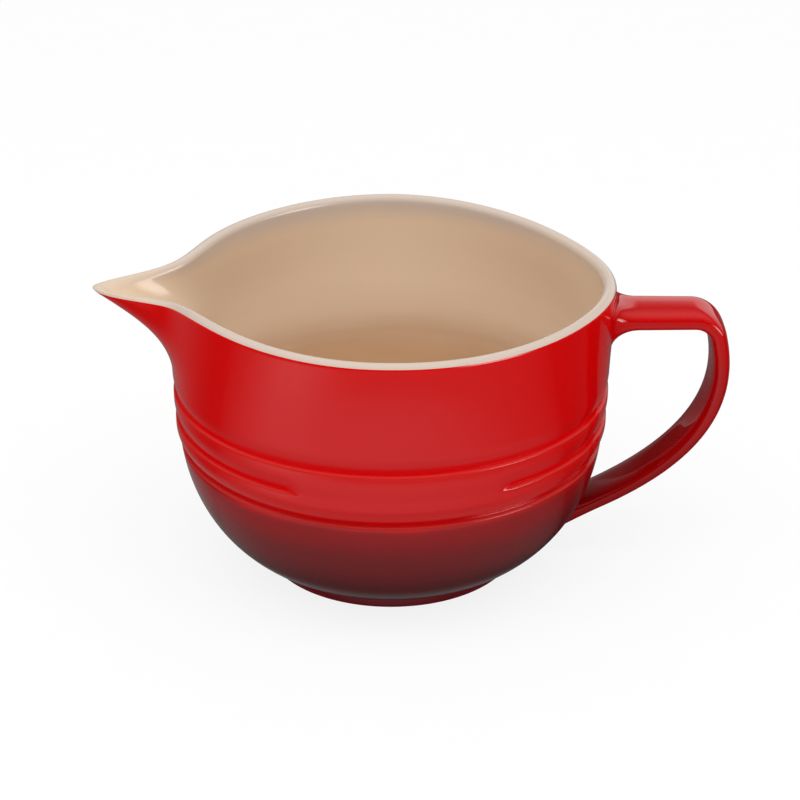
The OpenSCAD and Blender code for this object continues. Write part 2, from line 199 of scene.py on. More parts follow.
def turned_tree():
    """Turns a section round the bowl's axis. Each point of the section holds its radius, its radius in
    the smooth front band and its height. The rim's plan and dips and the spout are added by formula."""
    tree = node_tree("turned_skin", [
        ("Columns", "NodeSocketInt", SKIN_COLUMNS),
        ("Rim height", "NodeSocketFloat", RIM_H),
        ("Ring height", "NodeSocketFloat", RING_Z),
        ("Wall radius", "NodeSocketFloat", WALL_R),
        ("Wall thickness", "NodeSocketFloat", WALL_T),
        ("Flank swell", "NodeSocketFloat", FLANK_SWELL),
        ("Corner draw", "NodeSocketFloat", CORNER_DRAW),
        ("End swell", "NodeSocketFloat", END_SWELL),
        ("Handle dip", "NodeSocketFloat", 3.2 * MM),
        ("Spout reach", "NodeSocketFloat", 34.1 * MM),
        ("Spout root height", "NodeSocketFloat", 98 * MM),
        ("Spout dip", "NodeSocketFloat", 6.9 * MM),
        ("Spout spread", "NodeSocketFloat", 8.7),
        ("Spout root spread", "NodeSocketFloat", 15.0),
        ("Spout dip spread", "NodeSocketFloat", 21.0),
        ("Spout plan power", "NodeSocketFloat", 1.7),
        ("Band half angle", "NodeSocketFloat", 25.0),
        ("Band turn", "NodeSocketFloat", 2.8),
        ("Band fade", "NodeSocketFloat", 5.0),
        ("Material", "NodeSocketMaterial", None),
    ])
    source = tree.nodes.new("NodeGroupInput")
    given = {name: Field(tree, source.outputs[name]) for name in source.outputs.keys() if name}
    size = add_node(tree, "GeometryNodeAttributeDomainSize", Geometry=source.outputs["Geometry"])
    rows = Field(tree, size.outputs["Point Count"])
    grid = add_node(tree, "GeometryNodeMeshGrid", Vertices_X=given["Columns"], Vertices_Y=rows)
    index = Field(tree, tree.nodes.new("GeometryNodeInputIndex").outputs[0])
    column = index.make("FLOOR", (index + 0.5) / rows)
    row = index - column * rows

    def sampled(kind, value):
        node = add_node(tree, "GeometryNodeSampleIndex", {"data_type": kind},
                        Geometry=source.outputs["Geometry"], Value=value, Index=row)
        return node.outputs["Value"]

    def attribute(name):
        node = add_node(tree, "GeometryNodeInputNamedAttribute", Name=name)
        return Field(tree, sampled("FLOAT", node.outputs["Attribute"]))

    place = sampled("FLOAT_VECTOR", tree.nodes.new("GeometryNodeInputPosition").outputs[0])
    parts = add_node(tree, "ShaderNodeSeparateXYZ", Vector=place)
    radius, smooth, height = (Field(tree, parts.outputs[axis]) for axis in "XYZ")
    inner = attribute("inner_share")

    # The angle from the spout, in degrees, with the columns closest together there
    turn = column / (given["Columns"] - 1.0) * 2.0 - 1.0
    off = turn * (turn.size() * SPOUT_CROWD + (1 - SPOUT_CROWD)) * 180.0
    angle = off * math.radians(1)
    cosine = angle.make("COSINE", angle)
    sine = angle.make("SINE", angle)
    flank = sine.size()
    end = cosine.size()
    to_handle = cosine.make("MAXIMUM", cosine * -1.0, 0.0)
    away = off.size()
    from_front = (off - 90.0 - given["Band turn"]).size()

    rim_part = ((height - given["Ring height"]) / (given["Rim height"] - given["Ring height"])).ease()
    swell = ((given["Corner draw"] + given["Flank swell"]) * flank ** FLANK_POWER
             + (given["Corner draw"] + given["End swell"]) * end ** END_POWER - given["Corner draw"])
    fall = (given["Handle dip"] * to_handle ** DIP_POWER
            + given["Spout dip"] * away.bell(given["Spout dip spread"]))
    root = given["Spout root height"]
    share = ((height - root) / (given["Rim height"] - root)).clamp()
    spread = given["Spout root spread"] + (given["Spout spread"] - given["Spout root spread"]) * share
    power = given["Spout plan power"]
    out = given["Spout reach"] * share ** REACH_POWER * away.bell(spread, power)
    slope = (out * power * (away / spread) ** (power - 1.0) / spread * math.degrees(1)
             / (given["Wall radius"] + out))
    steep = (slope * slope + 1.0).root() - 1.0
    thick = given["Wall thickness"] * 0.5 * steep
    band = ((from_front - given["Band half angle"]) / given["Band fade"]).ease()
    reach = smooth + (radius - smooth) * band + rim_part * swell + out - inner * thick
    reach = reach * radius.make("GREATER_THAN", radius, AXIS_R)
    moved = add_node(tree, "ShaderNodeCombineXYZ", X=reach * cosine * -1.0, Y=reach * sine * -1.0,
                     Z=height - rim_part * fall)
    skin = add_node(tree, "GeometryNodeSetPosition", Geometry=grid.outputs["Mesh"],
                    Position=moved.outputs[0]).outputs[0]
    left = (band - 1.0) * attribute("band_share") + 1.0
    for name in ("pool", "crest"):
        skin = add_node(tree, "GeometryNodeStoreNamedAttribute", {"data_type": "FLOAT", "domain": "POINT"},
                        Geometry=skin, Name=name, Value=attribute(name) * left).outputs[0]
    return finish_tree(tree, skin, given["Material"], SKIN_WELD)


def set_input(modifier, name, value):
    """Sets a modifier's input by the identifier of the tree's socket with that name."""
    for item in modifier.node_group.interface.items_tree:
        if item.in_out == "INPUT" and item.name == name:
            modifier[item.identifier] = value


def make_plain(piece):
    """Takes the mesh that a piece's modifiers make as its own."""
    mesh = bpy.data.meshes.new_from_object(piece.evaluated_get(bpy.context.evaluated_depsgraph_get()))
    piece.modifiers.clear()
    old = piece.data
    piece.data = mesh
    bpy.data.meshes.remove(old)


def edit_mesh(piece, change):
    """Works a piece's mesh over with a function that takes it as a bmesh."""
    shape = bmesh.new()
    shape.from_mesh(piece.data)
    change(shape)
    shape.to_mesh(piece.data)
    shape.free()


def finish_piece(piece, node, sharp=50):
    """Makes a piece a plain mesh with outward faces and puts it in the place of a CAD node. Edges that
    turn by more than sharp, in degrees, are kept crisp."""
    make_plain(piece)
    edit_mesh(piece, lambda shape: bmesh.ops.recalc_face_normals(shape, faces=shape.faces))
    piece.data.set_sharp_from_angle(angle=math.radians(sharp))
    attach(piece, "root")
    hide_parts(node)


def new_piece(name, vertices, edges=(), faces=()):
    mesh = bpy.data.meshes.new(name)
    mesh.from_pydata(vertices, edges, faces)
    piece = bpy.data.objects.new(name, mesh)
    bpy.context.scene.collection.objects.link(piece)
    return piece


def turned_piece(name, section, node, material):
    """A skin turned from a section, which is a list of points as made by point()."""
    piece = new_piece(name, [p[:3] for p in section])
    for place, label in enumerate(("inner_share", "pool", "crest", "band_share"), 3):
        layer = piece.data.attributes.new(label, "FLOAT", "POINT")
        layer.data.foreach_set("value", [p[place] for p in section])
    modifier = piece.modifiers.new("turned", "NODES")
    modifier.node_group = TURNED
    set_input(modifier, "Material", material)
    finish_piece(piece, node)


def point(r, z, smooth=None, inner=0.0, pool=0.0, crest=0.0, band=0.0):
    """A point of a section: its radius, its radius in the smooth front band, its height, its share of
    the wall's inner side, how much glaze pools on it, which also sets painted shade in its gloss, how
    near it is to a crest, where a painted highlight lies, and 1 where the front band takes pool and
    crest away."""
    return (r, r if smooth is None else smooth, z, inner, pool, crest, band)


def bezier(points, t):
    """The point at a share t of a curve with four control points in a plane."""
    weights = ((1 - t) ** 3, 3 * t * (1 - t) ** 2, 3 * t * t * (1 - t), t ** 3)
    return tuple(sum(w * p[i] for w, p in zip(weights, points)) for i in range(2))


def between(a, b, shares):
    """The point at a share of the way from a to b in each of two directions."""
    return tuple(a[i] + (b[i] - a[i]) * shares[i] for i in range(2))


def smooth_step(t):
    """The same soft 0 to 1 as ease(), for plain numbers."""
    t = min(1.0, max(0.0, t))
    return t * t * (3 - 2 * t)


groove_z = [RING_Z - RING_PITCH * n for n in range(3)]
edge_r = [WALL_R, WALL_R - RING_STEP, WALL_R - RING_STEP - BOWL_STEP]


def groove(n, above_r, band_r=None, pool_and_gloss_shade=1.0):
    """The rounded crest at the top of ring n, the groove over it and the run out to what is above. In
    the front band the radius is band_r's. The last argument is how much of the glaze's pool, and of the
    painted shade in its gloss, the groove shows."""
    def row(r, z, pool, crest=0.0):
        return point(r, z, band_r(z) if band_r else None, pool=pool * pool_and_gloss_shade, crest=crest,
                     band=float(bool(band_r)))

    rows = []
    for i in range(STEP_ROWS):
        s = i / (STEP_ROWS - 1)
        r = edge_r[n] - CREST_FALL * s - (GROOVE_D - CREST_FALL) * smooth_step(s)
        rows.append(row(r, groove_z[n] + CREST_H * (CREST_SPAN * s - 1), smooth_step(s),
                        crest=math.exp(-((s - CREST_TOP) / CREST_WIDTH) ** 2)))
    low_z = rows[-1][2]
    for i in range(1, RUN_ROWS + 1):
        s = i / RUN_ROWS
        r = edge_r[n] - GROOVE_D + (above_r - edge_r[n] + GROOVE_D) * math.sin(math.pi / 2 * s)
        rows.append(row(r, low_z + (GROOVE_H - CREST_H) * s, smooth_step((POOL_END - s) / POOL_FADE)))
    return rows


def band_radius(z):
    """Radius of the smooth front band, which runs out from the second ring's edge to the first's."""
    return edge_r[1] + (edge_r[0] - edge_r[1]) * smooth_step((z - groove_z[1] + CREST_H) / GROOVE_H)


def lip_point(g):
    """The point of the rounded lip at an angle from the outside, over the top to the inside."""
    return point(WALL_R - LIP_R + LIP_R * math.cos(g), RIM_H - LIP_R + LIP_R * math.sin(g),
                 inner=(1 - math.cos(g)) / 2)


def outside_section():
    """The glazed outside from the foot's hem up to the line on the lip where the red stops."""
    foot_edge = (FOOT_TOP_R, FOOT_H)
    ring_edge = (edge_r[2], groove_z[2] - CREST_H)
    curve = (foot_edge, *(between(foot_edge, ring_edge, pull) for pull in UNDER_PULLS), ring_edge)
    rows = [point(FOOT_R, HEM_H), point((FOOT_R + FOOT_TOP_R) / 2, (HEM_H + FOOT_H) / 2)]
    rows += [point(*bezier(curve, i / UNDER_ROWS)) for i in range(UNDER_ROWS + 1)]
    rows += groove(2, edge_r[1], pool_and_gloss_shade=LOW_POOL)[1:]
    rows += groove(1, edge_r[0], band_radius)
    rows += groove(0, WALL_R)
    top = RIM_H - LIP_R
    low = rows[-1][2]
    rows += [point(WALL_R, low + (top - low) * i / WALL_ROWS) for i in range(1, WALL_ROWS + 1)]
    rows += [lip_point(LIP_LINE * i / LIP_ROWS) for i in range(1, LIP_ROWS + 1)]
    return rows


def inside_section():
    """The cream inside from the line on the lip, over it and down to the middle of the floor."""
    inner_r = WALL_R - WALL_T
    turn = (inner_r, RIM_H * INNER_TURN)
    low = (0, FLOOR_Z)
    curve = (low, *(between(low, turn, pull) for pull in INNER_PULLS), turn)
    over = math.pi - LIP_LINE
    rows = [lip_point(LIP_LINE + over * i / OVER_ROWS) for i in range(1, OVER_ROWS + 1)]
    top = RIM_H - LIP_R
    rows += [point(inner_r, top + (turn[1] - top) * i / INNER_ROWS, inner=1)
             for i in range(1, INNER_ROWS + 1)]
    rows += [point(*bezier(curve, 1 - i / BASIN_ROWS), inner=1) for i in range(1, BASIN_ROWS + 1)]
    return rows


def inset(rows, depth):
    """The same section moved into the clay by a depth."""
    moved = []
    last = len(rows) - 1
    for i, p in enumerate(rows):
        a, b = rows[max(0, i - 1)], rows[min(last, i + 1)]
        along = Vector((b[0] - a[0], b[2] - a[2])).normalized()
        if i == last:
            along = Vector((-1, 0))
        if i == 0:
            along = Vector((0, 1))
        r = max(0.0, p[0] - along[1] * depth)
        moved.append((r, p[1] - along[1] * depth, p[2] + along[0] * depth, *p[3:]))
    return moved


def srgb(*values):
    """A colour from its 0 to 255 values on screen, as the linear values that Blender takes."""
    return tuple((v / 255 / 12.92) if v <= 10 else ((v / 255 + 0.055) / 1.055) ** 2.4 for v in values)


def new_material(name, colour):
    """A material, its tree and its Principled shader, with the colour also set for plain viewports."""
    material = bpy.data.materials.new(name)
    material.diffuse_color = (*colour, 1)
    material.use_nodes = True
    shader = material.node_tree.nodes["Principled BSDF"]
    shader.inputs["Base Color"].default_value = (*colour, 1)
    return material, material.node_tree, shader


def noise(tree, scale, detail, stretch=(1, 1, 1)):
    """Noise on Object coordinates, in units of one over metres."""
    place = tree.nodes.new("ShaderNodeTexCoord").outputs["Object"]
    mapped = add_node(tree, "ShaderNodeMapping", Vector=place, Scale=stretch)
    return add_node(tree, "ShaderNodeTexNoise", Vector=mapped.outputs[0], Scale=scale,
                    Detail=detail).outputs["Fac"]


def over_colour(tree, under, share, colour):
    """A colour laid over what is under it by a share. The Mix node's colour sockets are 6, 7 and 2."""
    node = add_node(tree, "ShaderNodeMix", {"data_type": "RGBA"}, Factor=share)
    tree.links.new(under, node.inputs[6])
    node.inputs[7].default_value = (*colour, 1)
    return node.outputs[2]


def ramp(tree, factor, stops):
    """A smooth colour ramp. stops is a list of (position, colour)."""
    node = add_node(tree, "ShaderNodeValToRGB", Fac=factor)
    node.color_ramp.interpolation = "EASE"
    while len(node.color_ramp.elements) < len(stops):
        node.color_ramp.elements.new(0.5)
    for element, (position, colour) in zip(node.color_ramp.elements, stops):
        element.position = position
        element.color = (*colour, 1)
    return node.outputs["Color"]


def add_bump(tree, shader, height, strength, depth):
    bump = add_node(tree, "ShaderNodeBump", Height=height, Strength=strength, Distance=depth)
    tree.links.new(bump.outputs[0], shader.inputs["Normal"])


def height_colour(tree, stops, drift, scale, stretch):
    """A colour by height. stops are (height, colour), and they drift up and down in soft clouds."""
    place = tree.nodes.new("ShaderNodeTexCoord").outputs["Object"]
    height = Field(tree, add_node(tree, "ShaderNodeSeparateXYZ", Vector=place).outputs["Z"])
    cloud = Field(tree, noise(tree, scale, detail=3, stretch=stretch))
    level = (height + (cloud - 0.5) * drift) / RIM_H
    return ramp(tree, level.clamp().socket, [(z / RIM_H, colour) for z, colour in stops])


def clay_material():
    material, tree, shader = new_material("clay", CLAY_BUFF)
    grog = noise(tree, scale=900, detail=4)
    tint = ramp(tree, grog, [(0.35, srgb(178, 148, 112)), (0.6, srgb(204, 178, 143)),
                             (0.8, srgb(150, 118, 84))])
    tree.links.new(tint, shader.inputs["Base Color"])
    shader.inputs["Roughness"].default_value = 0.85
    add_bump(tree, shader, grog, strength=0.3, depth=0.1 * MM)
    return material


TURNED = turned_tree()
CLAY = clay_material()
outside = outside_section()
inside = inside_section()
clay_section = inset(outside + inside, GLAZE_T)
foot_seat = point(FOOT_TOP_R - GLAZE_T, FOOT_H)
turned_piece("bowl_body_clay", [point(0, FOOT_H), foot_seat] + clay_section[4::2] + [clay_section[-1]],
             "bowl_body", CLAY)


# Outer glaze: a thick gloss red poured over the outside. It darkens to maroon below the rings, and the
#  band at the foot is lifted paler as painted light. It pools bright in the grooves, where its gloss is
#  turned down as painted shade, is paler on their crests with thinner glaze and a painted highlight,
#  and stops at a clean line on the lip.
POOL_RED = srgb(200, 0, 4)
# The crests' pale pink is thinner glaze and a painted highlight
CREST_RED = srgb(192, 60, 52)
POOL_COVER = 0.85
CREST_COVER = 0.5
GLAZE_IOR = 1.5
PLAIN_SPECULAR = 0.5


def red_glaze(name, stops, grooved=False):
    """Gloss red glaze. stops are its colours at heights. In grooves it lies thick, and its gloss there
    is turned down as painted shade for the light that their sides would hide. On their crests it is
    paler: thinner glaze with a painted highlight."""
    material, tree, shader = new_material(name, stops[-1][1])
    colour = height_colour(tree, stops, drift=5 * MM, scale=26, stretch=(1, 1, 2))
    if grooved:
        pool, crest = (Field(tree, add_node(tree, "ShaderNodeAttribute",
                                            {"attribute_name": label}).outputs["Fac"])
                       for label in ("pool", "crest"))
        pool_and_gloss_shade = pool * POOL_COVER
        colour = over_colour(tree, colour, pool_and_gloss_shade, POOL_RED)
        # Painted highlight, with thinner glaze: a pale pink over each crest
        colour = over_colour(tree, colour, crest * CREST_COVER, CREST_RED)
        # Painted shade: the gloss is turned down where glaze pools in the grooves, as if their sides hid
        # its light
        gloss = (pool_and_gloss_shade * -1.0 + 1.0) * PLAIN_SPECULAR
        tree.links.new(gloss.socket, shader.inputs["Specular IOR Level"])
    tree.links.new(colour, shader.inputs["Base Color"])
    shader.inputs["Roughness"].default_value = 0.07
    shader.inputs["IOR"].default_value = GLAZE_IOR
    add_bump(tree, shader, noise(tree, scale=55, detail=2), strength=0.25, depth=0.12 * MM)
    return material


# Painted light: the lowest stop, at the foot, is paler than the maroon above it, to lift the foot's band
# out of its shadow
RED_GLAZE = red_glaze("red_glaze", [
    (3 * MM, srgb(118, 14, 26)), (8 * MM, srgb(64, 6, 9)), (20 * MM, srgb(74, 6, 9)),
    (40 * MM, srgb(100, 8, 12)), (56 * MM, srgb(130, 10, 14)), (63 * MM, srgb(184, 5, 7)),
    (90 * MM, srgb(190, 3, 5)), (RIM_H, srgb(194, 4, 5))], grooved=True)
# The coat's ring: up its outer side, then back down against the clay with every third point
clay_out = clay_section[:len(outside)]
outer_ring = outside + [clay_out[-1]] + list(reversed(clay_out[3:-1]))[::3]
outer_ring += [foot_seat, point(FOOT_R - GLAZE_T, HEM_H), outside[0]]
turned_piece("outer_glaze_red", outer_ring, "outer_glaze", RED_GLAZE)


# Lining glaze: a gloss cream coat over the lip, the spout's channel and the whole inside, with the
# faint bands that turning left in the clay under it.
def cream_glaze():
    material, tree, shader = new_material("cream_glaze", srgb(222, 200, 172))
    # Painted shade and light by height: darker and tanner low inside, where the walls shade it, and palest
    # at mid-height
    colour = height_colour(tree, [
        (0.05 * RIM_H, srgb(180, 142, 105)), (0.4 * RIM_H, srgb(190, 152, 116)),
        (0.62 * RIM_H, srgb(228, 205, 179)), (0.9 * RIM_H, srgb(214, 188, 160)),
        (0.985 * RIM_H, srgb(192, 176, 163))], drift=6 * MM, scale=30, stretch=(1, 1, 5))
    tree.links.new(colour, shader.inputs["Base Color"])
    shader.inputs["Roughness"].default_value = 0.16
    shader.inputs["IOR"].default_value = GLAZE_IOR
    turning_bands = noise(tree, scale=60, detail=2, stretch=(0.1, 0.1, 3))
    add_bump(tree, shader, turning_bands, strength=0.35, depth=0.3 * MM)
    return material


CREAM_GLAZE = cream_glaze()
# The coat's ring: up against the clay with every third point, then over the lip and down inside
clay_in = clay_section[len(outside) - 1:]
lining = list(reversed(clay_in))[::3] + [clay_in[0], outside[-1]] + inside
turned_piece("lining_glaze_cream", lining, "lining_glaze", CREAM_GLAZE)


# Foot: a ring turned on the underside of the body. Its face is wiped clean of glaze and ground flat,
# so that the bowl doesn't fuse to the kiln shelf.
FOOT_W = 6.5 * MM
FOOT_ROUND = 0.9 * MM
FOOT_COLUMNS = 192
FINE_WELD = 0.01 * MM


def lathe(name, section, node, material, closed=True):
    """A piece turned from a plain section of (radius, height) points. A section that isn't closed
    begins and ends on the axis."""
    vertices = []
    faces = []
    count = len(section)
    for j in range(FOOT_COLUMNS):
        a = 2 * math.pi * j / FOOT_COLUMNS
        vertices += [(r * math.cos(a), r * math.sin(a), z) for r, z in section]
    for j in range(FOOT_COLUMNS):
        k = (j + 1) % FOOT_COLUMNS
        for i in range(count if closed else count - 1):
            m = (i + 1) % count
            faces.append((j * count + i, k * count + i, k * count + m, j * count + m))
    piece = new_piece(name, vertices, faces=faces)
    edit_mesh(piece, lambda shape: bmesh.ops.remove_doubles(shape, verts=shape.verts, dist=FINE_WELD))
    piece.data.materials.append(material)
    piece.data.shade_smooth()
    finish_piece(piece, node, sharp=35)


def rounded_corner(centre, start, rows=6):
    """A quarter round of the foot's rounding about a centre, from a starting angle in degrees."""
    turns = [math.radians(start + 90 * i / rows) for i in range(rows + 1)]
    return [(centre[0] + FOOT_ROUND * math.cos(a), centre[1] + FOOT_ROUND * math.sin(a)) for a in turns]


foot_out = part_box("foot_ring")[1].x
foot_in = FOOT_R - FOOT_W
foot = [(foot_in, FOOT_H)] + rounded_corner((foot_in + FOOT_ROUND, FOOT_ROUND), 180)
foot += rounded_corner((foot_out - FOOT_ROUND, FOOT_ROUND), 270)
foot += [(foot_out - (FOOT_R - FOOT_TOP_R), FOOT_H)]
lathe("foot_bare_clay", foot, "foot_ring", CLAY)


# Base glaze: the same red glaze, poured into the recess within the foot, where it fires dark. Its edge
# is wiped back a little from the foot's inner side.
BASE_EDGE = 0.2 * MM
base_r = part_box("base_glaze")[1].x
base_low = FOOT_H - GLAZE_T
lathe("base_glaze_maroon", [(0, FOOT_H), (base_r, FOOT_H), (base_r, base_low + BASE_EDGE),
                            (base_r - BASE_EDGE, base_low), (0, base_low)],
      "base_glaze", RED_GLAZE, closed=False)


# Handle: a strap of stoneware, pulled out with rounded edges and bent over, with its own coat of the
#  red glaze. Its red darkens towards the lower end as painted shade, where the bowl shades the strap's
#  inner face.
HANDLE_Z = RIM_H - 19.8 * MM
BEND_X = 133.4 * MM
BEND_R = 11.2 * MM
BEND_ANGLE = math.radians(75.3)
SWEEP_PULL = 42.1 * MM
STRAP_W = (27.9 * MM, 23.6 * MM)
STRAP_T = (8.4 * MM, 7 * MM)
SECTION_POWER = 0.6
SECTION_COUNT = 80
UPPER_JOINT = 12 * MM
LOWER_JOINT = 7 * MM
AIM = (84 * MM, 23 * MM)
AIM_PULL = (0.663, 0.211)
TOP_ROWS, BEND_ROWS, SWEEP_ROWS = 12, 24, 128


def wall_radius(z):
    """The outer glaze's radius at a height, by straight steps between the section's points."""
    for a, b in zip(outside, outside[1:]):
        if a[2] <= z <= b[2] and b[2] > a[2]:
            return a[0] + (b[0] - a[0]) * (z - a[2]) / (b[2] - a[2])
    return outside[0][0] if z < outside[0][2] else WALL_R


def strap_path():
    """The strap's middle line from the upper joint to the lower one, as (x, z, share of its length)."""
    wall = WALL_R + UPPER_JOINT
    line = [(wall + (BEND_X - wall) * i / TOP_ROWS, HANDLE_Z) for i in range(TOP_ROWS + 1)]
    for i in range(1, BEND_ROWS + 1):
        a = BEND_ANGLE * i / BEND_ROWS
        line.append((BEND_X + BEND_R * math.sin(a), HANDLE_Z - BEND_R + BEND_R * math.cos(a)))
    start = line.pop()
    pull = (start[0] + SWEEP_PULL * math.cos(BEND_ANGLE), start[1] - SWEEP_PULL * math.sin(BEND_ANGLE))
    curve = (start, pull, between(AIM, start, AIM_PULL), AIM)
    t = 0.0
    while bezier(curve, t)[0] - wall_radius(bezier(curve, t)[1]) > LOWER_JOINT + STRAP_T[1] / 2:
        line.append(bezier(curve, t))
        t += 1 / SWEEP_ROWS
    lengths = [0.0]
    for a, b in zip(line, line[1:]):
        lengths.append(lengths[-1] + math.dist(a, b))
    return [(x, z, length / lengths[-1]) for (x, z), length in zip(line, lengths)]


def strap_section(width, thick):
    """The strap's section, a flat rounded bar, as (across, through) points going round once."""
    rows = []
    for i in range(SECTION_COUNT):
        a = 2 * math.pi * i / SECTION_COUNT
        across, through = (math.copysign(abs(v) ** SECTION_POWER, v) for v in (math.cos(a), math.sin(a)))
        rows.append((across * width / 2, through * thick / 2))
    return rows


def swept_tree():
    """Sweeps a flat section along a path in the XZ plane. The section is an object whose points hold
    (across, through). The ends stay open, and close_ends fills them."""
    tree = node_tree("swept_strap", [
        ("Section", "NodeSocketObject", None),
        ("Width share at the end", "NodeSocketFloat", STRAP_W[1] / STRAP_W[0]),
        ("Thickness share at the end", "NodeSocketFloat", STRAP_T[1] / STRAP_T[0]),
        ("Material", "NodeSocketMaterial", None),
    ])
    source = tree.nodes.new("NodeGroupInput")
    info = add_node(tree, "GeometryNodeObjectInfo", Object=source.outputs["Section"])
    path_size = add_node(tree, "GeometryNodeAttributeDomainSize", Geometry=source.outputs["Geometry"])
    ring_size = add_node(tree, "GeometryNodeAttributeDomainSize", Geometry=info.outputs["Geometry"])
    rows = Field(tree, path_size.outputs["Point Count"])
    ring = Field(tree, ring_size.outputs["Point Count"])
    grid = add_node(tree, "GeometryNodeMeshGrid", Vertices_X=rows, Vertices_Y=ring + 1.0)
    index = Field(tree, tree.nodes.new("GeometryNodeInputIndex").outputs[0])
    row = index.make("FLOOR", (index + 0.5) / (ring + 1.0))
    column = index.make("MODULO", index - row * (ring + 1.0), ring)
    position = tree.nodes.new("GeometryNodeInputPosition").outputs[0]

    def sampled(geometry, place):
        node = add_node(tree, "GeometryNodeSampleIndex", {"data_type": "FLOAT_VECTOR", "clamp": True},
                        Geometry=geometry, Value=position, Index=place)
        return add_node(tree, "ShaderNodeSeparateXYZ", Vector=node.outputs["Value"])

    label = add_node(tree, "GeometryNodeInputNamedAttribute", Name="sweep_share")
    share = Field(tree, add_node(tree, "GeometryNodeSampleIndex", {"data_type": "FLOAT"},
                                 Geometry=source.outputs["Geometry"], Value=label.outputs["Attribute"],
                                 Index=row).outputs["Value"])

    def tapered(name):
        return (Field(tree, source.outputs[name]) - 1.0) * share + 1.0

    here, before, after = (sampled(source.outputs["Geometry"], row + step) for step in (0.0, -1.0, 1.0))
    spot = sampled(info.outputs["Geometry"], column)
    along_x = Field(tree, after.outputs["X"]) - Field(tree, before.outputs["X"])
    along_z = Field(tree, after.outputs["Z"]) - Field(tree, before.outputs["Z"])
    length = (along_x * along_x + along_z * along_z).root()
    through = Field(tree, spot.outputs["Y"]) * tapered("Thickness share at the end")
    across = Field(tree, spot.outputs["X"]) * tapered("Width share at the end")
    moved = add_node(tree, "ShaderNodeCombineXYZ",
                     X=Field(tree, here.outputs["X"]) - along_z / length * through,
                     Y=across,
                     Z=Field(tree, here.outputs["Z"]) + along_x / length * through)
    skin = add_node(tree, "GeometryNodeSetPosition", Geometry=grid.outputs["Mesh"],
                    Position=moved.outputs[0])
    return finish_tree(tree, skin.outputs[0], source.outputs["Material"], FINE_WELD)


def close_ends(piece, inner=None):
    """Fills a swept piece's open ends, or joins it to an inner skin as a sleeve."""
    def change(shape):
        if inner:
            shape.from_mesh(inner.data)
        rims = [e for e in shape.edges if e.is_boundary]
        if inner:
            bmesh.ops.bridge_loops(shape, edges=[e for e in rims if e.verts[0].co.z > HANDLE_Z / 2])
            bmesh.ops.bridge_loops(shape, edges=[e for e in rims if e.is_boundary])
        else:
            bmesh.ops.holes_fill(shape, edges=rims, sides=0)

    edit_mesh(piece, change)


def swept_piece(name, path, section, material):
    piece = new_piece(name, [(x, 0, z) for x, z, _ in path])
    layer = piece.data.attributes.new("sweep_share", "FLOAT", "POINT")
    layer.data.foreach_set("value", [p[2] for p in path])
    outline = new_piece(name + "_section", [(a, t, 0) for a, t in section])
    modifier = piece.modifiers.new("swept", "NODES")
    modifier.node_group = SWEPT
    set_input(modifier, "Section", outline)
    set_input(modifier, "Material", material)
    make_plain(piece)
    bpy.data.objects.remove(outline)
    return piece


SWEPT = swept_tree()
# Painted shade: darker towards the strap's lower end, where the bowl shades it
STRAP_RED_PAINTED_SHADE = red_glaze("strap_red_glaze_painted_shade", [
    (20 * MM, srgb(134, 3, 6)), (45 * MM, srgb(137, 3, 5)), (75 * MM, srgb(150, 2, 4)),
    (HANDLE_Z, srgb(177, 2, 4))])
path = strap_path()
core = swept_piece("handle_clay", path,
                   strap_section(STRAP_W[0] - 2 * GLAZE_T, STRAP_T[0] - 2 * GLAZE_T), CLAY)
coat = swept_piece("handle_glaze_red", path, strap_section(STRAP_W[0], STRAP_T[0]), STRAP_RED_PAINTED_SHADE)
close_ends(coat, core)
close_ends(core)
finish_piece(core, "handle")
finish_piece(coat, "handle_glaze")


# Slip joints: the clay paste that lutes the strap to the wall, smoothed out by finger into a fillet
#  and glazed with the strap, with its painted shade. Each is lofted from the strap's end to the wall
#  that it lies against.
SEAT_SINK = 0.1 * MM
FARTHEST = 4 * UPPER_JOINT
HALVINGS = 22
FILLET_ROWS = 20
SEAT_SHARES = (0.8, 0.6, 0.4, 0.2)


def in_wall(p):
    """Whether a point lies within the glazed outside of the bowl near the handle."""
    a = math.atan2(p.y, p.x)
    share = smooth_step((p.z - RING_Z) / (RIM_H - RING_Z))
    swell = ((CORNER_DRAW + FLANK_SWELL) * abs(math.sin(a)) ** FLANK_POWER
             + (CORNER_DRAW + END_SWELL) * abs(math.cos(a)) ** END_POWER - CORNER_DRAW)
    return math.hypot(p.x, p.y) < wall_radius(p.z) + share * swell - SEAT_SINK


def to_wall(p, way):
    """How far a point is from the wall along a way, found by halving."""
    low, high = 0.0, FARTHEST
    for _ in range(HALVINGS):
        middle = (low + high) / 2
        if in_wall(p + way * middle):
            high = middle
        else:
            low = middle
    return low


